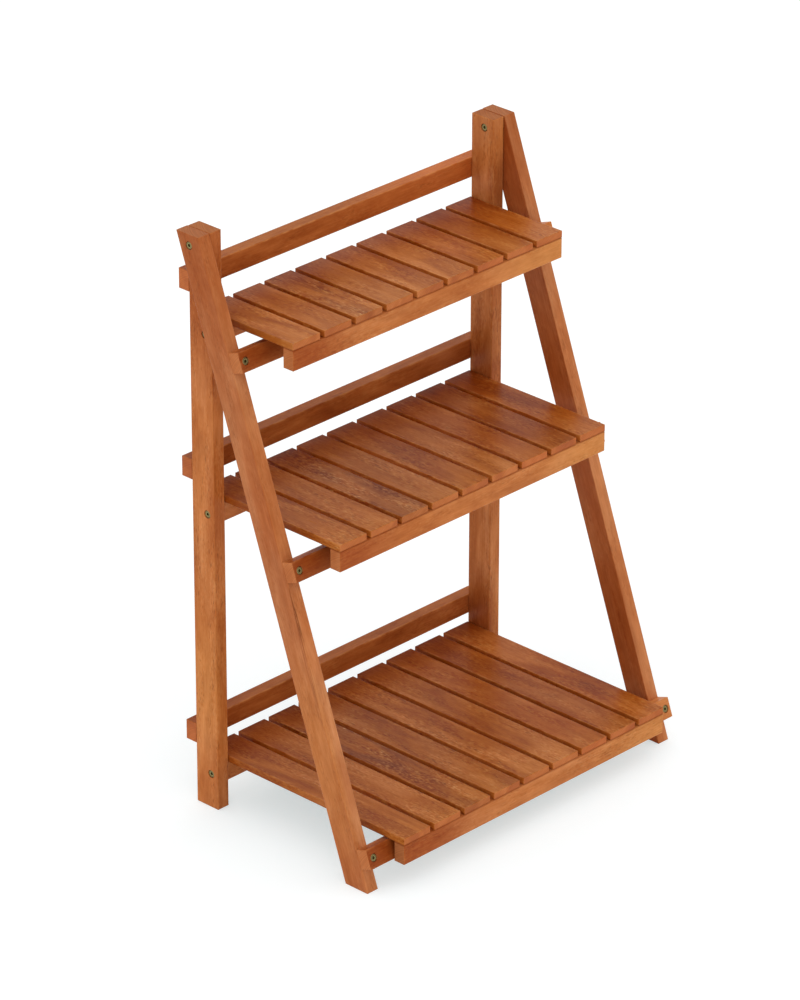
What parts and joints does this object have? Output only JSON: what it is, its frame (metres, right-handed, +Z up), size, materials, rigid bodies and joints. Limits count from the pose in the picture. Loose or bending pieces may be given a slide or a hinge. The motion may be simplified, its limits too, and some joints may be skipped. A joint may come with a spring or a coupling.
{
  "type": "folding plant stand",
  "caption": "Folding slatted wooden plant stand: shelves of growing depth hinged between two posts rest on the crossbars of a leaning front frame.",
  "frame": {"origin": "on the floor, at the centre of the bounding box of the open stand", "axes": "+X along the shelves to the right seen from the front, +Y from the front to the back, +Z up"},
  "size_m": [0.646, 0.421, 0.92],
  "materials": {
    "frame_wood": "red-brown oiled hardwood, satin",
    "slat_wood": "red-brown oiled hardwood, satin",
    "brass": "antique brass plate, satin"
  },
  "bodies": {
    "rear_frame": {"post_left": "frame_wood", "post_right": "frame_wood", "rear_rail_bottom": "frame_wood", "rear_rail_middle": "frame_wood", "rear_rail_top": "frame_wood", "rear_rail_screws": "brass", "leg_pivot_bolts": "brass", "leg_pivot_nuts": "brass", "leg_pivot_washers": "brass", "shelf_pivot_washers": "brass"},
    "front_frame": {"leg_left": "frame_wood", "leg_right": "frame_wood", "crossbar_bottom": "frame_wood", "crossbar_middle": "frame_wood", "crossbar_top": "frame_wood", "crossbar_screws": "brass"},
    "bottom_shelf": {"bottom_slat_1": "slat_wood", "bottom_slat_2": "slat_wood", "bottom_slat_3": "slat_wood", "bottom_slat_4": "slat_wood", "bottom_slat_5": "slat_wood", "bottom_slat_6": "slat_wood", "bottom_slat_7": "slat_wood", "bottom_slat_8": "slat_wood", "bottom_slat_9": "slat_wood", "bottom_rear_bar": "frame_wood", "bottom_front_rail": "frame_wood", "bottom_bearers": "frame_wood", "bottom_slat_screws": "brass", "bottom_pivot_screws": "brass"},
    "middle_shelf": {"middle_slat_1": "slat_wood", "middle_slat_2": "slat_wood", "middle_slat_3": "slat_wood", "middle_slat_4": "slat_wood", "middle_slat_5": "slat_wood", "middle_slat_6": "slat_wood", "middle_slat_7": "slat_wood", "middle_slat_8": "slat_wood", "middle_slat_9": "slat_wood", "middle_rear_bar": "frame_wood", "middle_front_rail": "frame_wood", "middle_bearers": "frame_wood", "middle_slat_screws": "brass", "middle_pivot_screws": "brass"},
    "top_shelf": {"top_slat_1": "slat_wood", "top_slat_2": "slat_wood", "top_slat_3": "slat_wood", "top_slat_4": "slat_wood", "top_slat_5": "slat_wood", "top_slat_6": "slat_wood", "top_slat_7": "slat_wood", "top_slat_8": "slat_wood", "top_slat_9": "slat_wood", "top_rear_bar": "frame_wood", "top_front_rail": "frame_wood", "top_bearers": "frame_wood", "top_slat_screws": "brass", "top_pivot_screws": "brass"}
  },
  "joints": [
    {"name": "leg_fold", "type": "hinge", "parent": "rear_frame", "child": "front_frame", "pos_m": [0, 0.1645, 0.903], "axis": [1, 0, 0], "range_deg": [0, 19.6]},
    {"name": "bottom_shelf_lift", "type": "hinge", "parent": "rear_frame", "child": "bottom_shelf", "pos_m": [0, 0.1595, 0.0555], "axis": [-1, 0, 0], "range_deg": [0, 91.5]},
    {"name": "middle_shelf_lift", "type": "hinge", "parent": "rear_frame", "child": "middle_shelf", "pos_m": [0, 0.1595, 0.4785], "axis": [-1, 0, 0], "range_deg": [0, 91.5]},
    {"name": "top_shelf_lift", "type": "hinge", "parent": "rear_frame", "child": "top_shelf", "pos_m": [0, 0.1595, 0.7605], "axis": [-1, 0, 0], "range_deg": [0, 91.5]}
  ]
}
